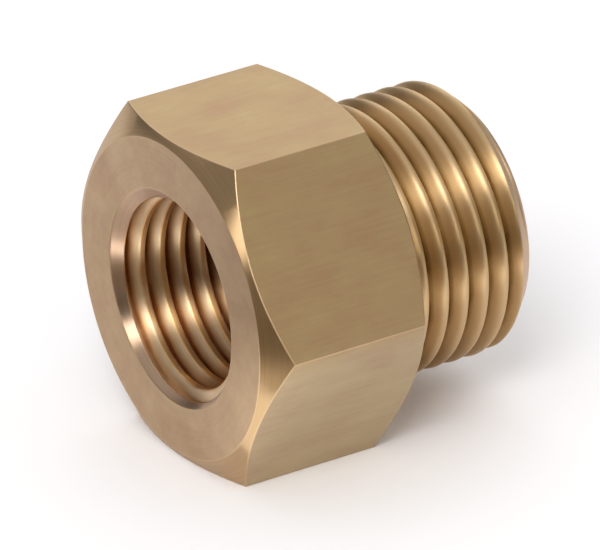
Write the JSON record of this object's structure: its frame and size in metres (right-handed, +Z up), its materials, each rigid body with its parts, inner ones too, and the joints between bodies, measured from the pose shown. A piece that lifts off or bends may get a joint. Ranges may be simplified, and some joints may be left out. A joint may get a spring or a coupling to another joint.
{
  "type": "thread adapter",
  "caption": "Brass hexagon thread adapter: countersunk internal thread in the hexagon's front face, external thread on a round spigot behind it, and a waterway through both.",
  "frame": {"origin": "on the common axis of both threads, in the plane of the shoulder between the hexagon and the spigot", "axes": "+X along the thread axis, towards the end of the external thread; +Z up, normal to the flat opposite the one the part lies on"},
  "size_m": [0.022, 0.0254, 0.022],
  "materials": {
    "brass": "drawn flats and turned faces, unpolished, slightly dulled"
  },
  "bodies": {
    "root": {"thread_adapter": "brass"}
  },
  "joints": []
}
